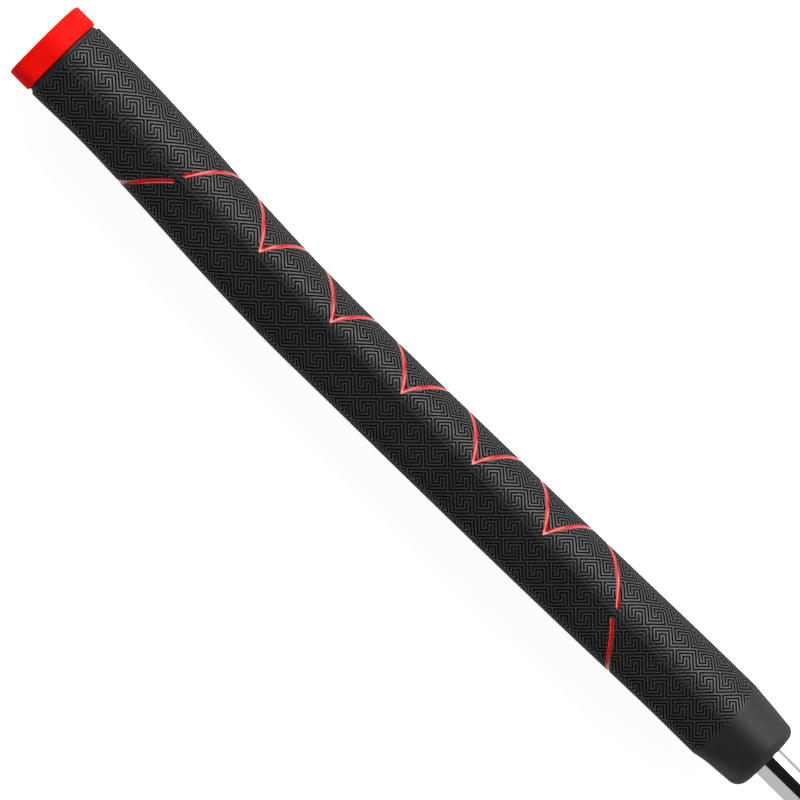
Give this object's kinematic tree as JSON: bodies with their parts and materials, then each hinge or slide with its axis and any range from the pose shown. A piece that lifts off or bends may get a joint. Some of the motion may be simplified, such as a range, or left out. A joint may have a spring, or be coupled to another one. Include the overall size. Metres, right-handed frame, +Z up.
{
  "type": "putter grip on a shaft",
  "caption": "Bowed black rubber putter grip with a flat front, raised key pattern, red painted lines and red end cap, on a chromed shaft end that slides out of its bore.",
  "frame": {"origin": "bottom centre of the whole part's bounding box, as it lies on its flat side", "axes": "+X runs along the shaft's axis from the butt cap to the mouth and out along the shaft; -Y is the flat thumb face and +Y the rounded back with the crossed lines; +Z is up, across the mould's parting plane"},
  "size_m": [0.329, 0.0278, 0.024],
  "materials": {
    "grip_rubber": "moulded matt black rubber with a fine raised key pattern",
    "cap_rubber": "smooth satin red rubber",
    "line_paint": "glossy red paint filled into moulded grooves",
    "shaft_chrome": "polished chrome plate on steel tube",
    "tape_backing": "tan double-sided grip tape"
  },
  "bodies": {
    "grip": {"grip_body": "grip_rubber", "end_cap": "cap_rubber", "front_line_butt": "line_paint", "front_line_mouth": "line_paint", "back_lattice": "line_paint"},
    "shaft": {"shaft": "shaft_chrome", "grip_tape": "tape_backing"}
  },
  "joints": [
    {"name": "shaft_slide", "type": "slide", "parent": "grip", "child": "shaft", "axis": [1, 0, 0], "range_m": [0, 0.268]}
  ]
}
